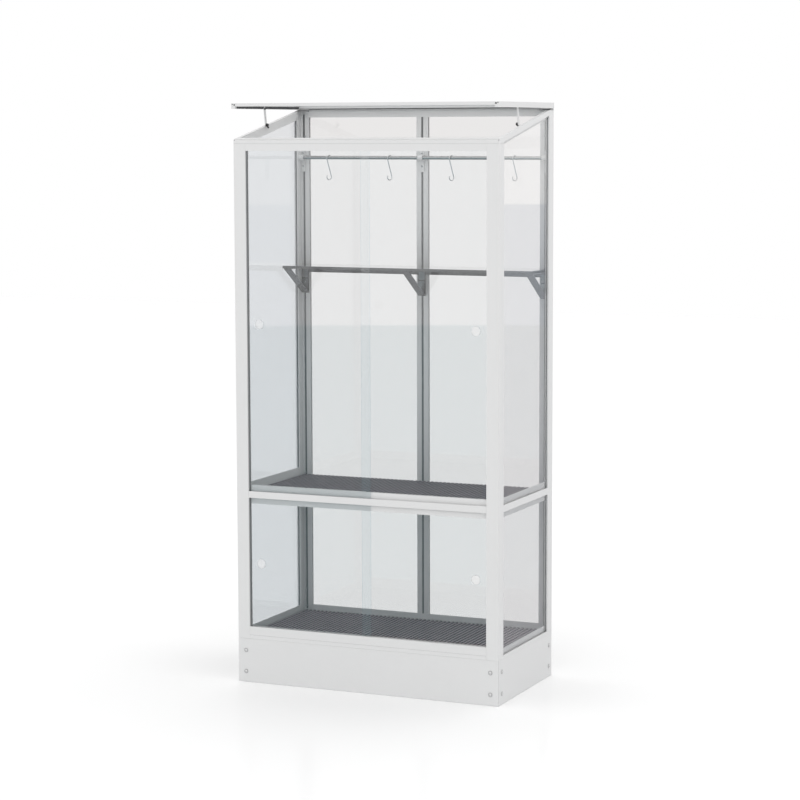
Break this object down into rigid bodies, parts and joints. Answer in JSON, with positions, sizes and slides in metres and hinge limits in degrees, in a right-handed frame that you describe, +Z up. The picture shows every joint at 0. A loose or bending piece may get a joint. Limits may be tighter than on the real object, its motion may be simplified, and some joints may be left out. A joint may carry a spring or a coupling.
{
  "type": "cold frame",
  "caption": "Tall glazed cold frame on a bolted plinth, with sliding glass doors, ribbed decks, a shelf, a hanging rod with hooks and a hinged roof lid.",
  "frame": {"origin": "on the floor, under the middle of the whole model", "axes": "+Z up, +X to the right seen from the front, +Y to the rear"},
  "size_m": [0.9074, 0.4867, 1.8538],
  "materials": {
    "frame_white": "white powder coat",
    "corner_fixings": "painted cleats and bolt heads",
    "clear_glass": "clear float glass, faint green tint",
    "door_pull": "translucent moulded plastic",
    "deck": "ribbed dark grey composite",
    "shelf_metal": "grey powder coat",
    "steel": "zinc plated"
  },
  "bodies": {
    "cabinet": {"plinth_front": "frame_white", "plinth_rear": "frame_white", "plinth_left": "frame_white", "plinth_right": "frame_white", "post_front_left": "frame_white", "post_front_right": "frame_white", "post_rear_left": "frame_white", "post_rear_right": "frame_white", "rear_mullion": "frame_white", "rail_front_bottom": "frame_white", "rail_front_middle": "frame_white", "rail_front_top": "frame_white", "rail_left_bottom": "frame_white", "rail_left_middle": "frame_white", "rail_left_top": "frame_white", "rail_right_bottom": "frame_white", "rail_right_middle": "frame_white", "rail_right_top": "frame_white", "rail_rear_bottom": "frame_white", "rail_rear_top": "frame_white", "rod_bracket_left": "frame_white", "rod_bracket_middle": "frame_white", "rod_bracket_right": "frame_white", "cleat_front_left": "corner_fixings", "cleat_front_right": "corner_fixings", "cleat_rear_left": "corner_fixings", "cleat_rear_right": "corner_fixings", "pane_left_lower": "clear_glass", "pane_left_upper": "clear_glass", "pane_right_lower": "clear_glass", "pane_right_upper": "clear_glass", "pane_rear_left": "clear_glass", "pane_rear_right": "clear_glass", "deck_middle": "deck", "deck_bottom": "deck", "rail_rear_shelf": "shelf_metal", "shelf": "shelf_metal", "shelf_bracket_left": "shelf_metal", "shelf_bracket_middle": "shelf_metal", "shelf_bracket_right": "shelf_metal", "hanging_rod": "steel"},
    "lid": {"lid_bar_left": "frame_white", "lid_bar_right": "frame_white", "lid_bar_front": "frame_white", "lid_bar_rear": "frame_white", "lid_glass": "clear_glass"},
    "stay_left_body": {"stay_left": "frame_white"},
    "stay_right_body": {"stay_right": "frame_white"},
    "sliding_door_upper_left": {"door_upper_left": "clear_glass", "pull_upper_left": "door_pull"},
    "sliding_door_upper_right": {"door_upper_right": "clear_glass", "pull_upper_right": "door_pull"},
    "sliding_door_lower_left": {"door_lower_left": "clear_glass", "pull_lower_left": "door_pull"},
    "sliding_door_lower_right": {"door_lower_right": "clear_glass", "pull_lower_right": "door_pull"},
    "s_hook_1": {"hook_1": "steel"},
    "s_hook_2": {"hook_2": "steel"},
    "s_hook_3": {"hook_3": "steel"},
    "s_hook_4": {"hook_4": "steel"}
  },
  "joints": [
    {"name": "lid_hinge", "type": "hinge", "parent": "cabinet", "child": "lid", "pos_m": [0, 0.22965, 1.84203], "axis": [1, 0, 0], "range_deg": [0, 11.3]},
    {"name": "stay_left_pivot", "type": "hinge", "parent": "lid", "child": "stay_left_body", "pos_m": [-0.4356, -0.04435, 1.83852], "axis": [1, 0, 0], "range_deg": [0, 79.2]},
    {"name": "stay_right_pivot", "type": "hinge", "parent": "lid", "child": "stay_right_body", "pos_m": [0.4356, -0.04435, 1.83852], "axis": [1, 0, 0], "range_deg": [0, 79.2]},
    {"name": "door_upper_left_slide", "type": "slide", "parent": "cabinet", "child": "sliding_door_upper_left", "axis": [1, 0, 0], "range_m": [0, 0.39]},
    {"name": "door_upper_right_slide", "type": "slide", "parent": "cabinet", "child": "sliding_door_upper_right", "axis": [-1, 0, 0], "range_m": [0, 0.39]},
    {"name": "door_lower_left_slide", "type": "slide", "parent": "cabinet", "child": "sliding_door_lower_left", "axis": [1, 0, 0], "range_m": [0, 0.39]},
    {"name": "door_lower_right_slide", "type": "slide", "parent": "cabinet", "child": "sliding_door_lower_right", "axis": [-1, 0, 0], "range_m": [0, 0.39]},
    {"name": "hook_1_swing", "type": "hinge", "parent": "cabinet", "child": "s_hook_1", "pos_m": [-0.3285, 0.21265, 1.679], "axis": [-1, 0, 0], "range_deg": [-6, 75]},
    {"name": "hook_2_swing", "type": "hinge", "parent": "cabinet", "child": "s_hook_2", "pos_m": [-0.1095, 0.21265, 1.679], "axis": [-1, 0, 0], "range_deg": [-6, 75]},
    {"name": "hook_3_swing", "type": "hinge", "parent": "cabinet", "child": "s_hook_3", "pos_m": [0.1095, 0.21265, 1.679], "axis": [-1, 0, 0], "range_deg": [-6, 75]},
    {"name": "hook_4_swing", "type": "hinge", "parent": "cabinet", "child": "s_hook_4", "pos_m": [0.3285, 0.21265, 1.679], "axis": [-1, 0, 0], "range_deg": [-6, 75]}
  ],
  "couplings": [
    {"joint": "stay_left_pivot", "follows": "lid_hinge", "ratio": 7},
    {"joint": "stay_right_pivot", "follows": "lid_hinge", "ratio": 7}
  ]
}
